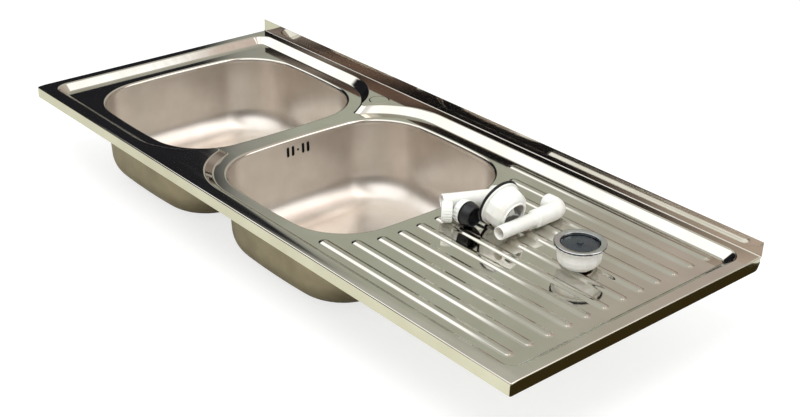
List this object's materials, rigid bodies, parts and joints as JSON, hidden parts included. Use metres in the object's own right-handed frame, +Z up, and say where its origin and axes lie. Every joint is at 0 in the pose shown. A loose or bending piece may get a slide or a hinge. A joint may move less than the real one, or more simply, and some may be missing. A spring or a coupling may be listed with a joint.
{
  "type": "double bowl kitchen sink",
  "caption": "Stainless steel lay-on kitchen sink with a double bowl and ribbed drainer, its strainer wastes and loose waste pipes laid on the drainer.",
  "frame": {"origin": "middle of the footprint, on the surface that the bowls stand on", "axes": "+X along the deck from the bowls to the drainer, +Y from the front edge to the wall, +Z up"},
  "size_m": [1.2, 0.5, 0.2217],
  "materials": {
    "mirror_steel": "mirror-polished stainless steel",
    "satin_steel": "satin stainless steel",
    "flange_steel": "polished stainless steel",
    "white_plastic": "moulded white plastic, soft gloss",
    "black_plastic": "moulded black plastic, satin",
    "black_rubber": "matt black rubber"
  },
  "bodies": {
    "sink": {"sink_top": "mirror_steel", "left_bowl": "satin_steel", "right_bowl": "satin_steel"},
    "waste_a": {"waste_a_strainer_cup": "flange_steel", "waste_a_gasket": "black_rubber", "waste_a_body": "white_plastic", "waste_a_screw": "flange_steel"},
    "waste_a_plug": {"waste_a_plug": "black_rubber"},
    "waste_b": {"waste_b_strainer_cup": "flange_steel", "waste_b_gasket": "black_rubber", "waste_b_body": "white_plastic", "waste_b_screw": "flange_steel"},
    "waste_b_plug": {"waste_b_plug": "black_rubber"},
    "drain_pipe": {"drain_pipe": "white_plastic"},
    "slip_nut": {"slip_nut": "white_plastic", "cone_washer": "black_rubber"},
    "overflow_pipe": {"overflow_pipe": "white_plastic"},
    "overflow_fitting": {"overflow_nut": "white_plastic", "overflow_gasket": "black_rubber", "overflow_head": "black_plastic"}
  },
  "joints": [
    {"name": "waste_a_lift", "type": "slide", "parent": "sink", "child": "waste_a", "axis": [0, 0, 1], "range_m": [0, 0.15]},
    {"name": "waste_a_plug_lift", "type": "slide", "parent": "waste_a", "child": "waste_a_plug", "axis": [0, 0, 1], "range_m": [0, 0.03]},
    {"name": "waste_b_lift", "type": "slide", "parent": "sink", "child": "waste_b", "axis": [0, 0, 1], "range_m": [0, 0.15]},
    {"name": "waste_b_plug_pull", "type": "slide", "parent": "waste_b", "child": "waste_b_plug", "axis": [-0.9655, 0, 0.2603], "range_m": [0, 0.009]},
    {"name": "drain_pipe_lift", "type": "slide", "parent": "sink", "child": "drain_pipe", "axis": [0, 0, 1], "range_m": [0, 0.15]},
    {"name": "slip_nut_lift", "type": "slide", "parent": "sink", "child": "slip_nut", "axis": [0, 0, 1], "range_m": [0, 0.15]},
    {"name": "overflow_pipe_lift", "type": "slide", "parent": "sink", "child": "overflow_pipe", "axis": [0.6, 0, 0.8], "range_m": [0, 0.15]},
    {"name": "overflow_fitting_lift", "type": "slide", "parent": "sink", "child": "overflow_fitting", "axis": [0, 0, 1], "range_m": [0, 0.15]}
  ]
}
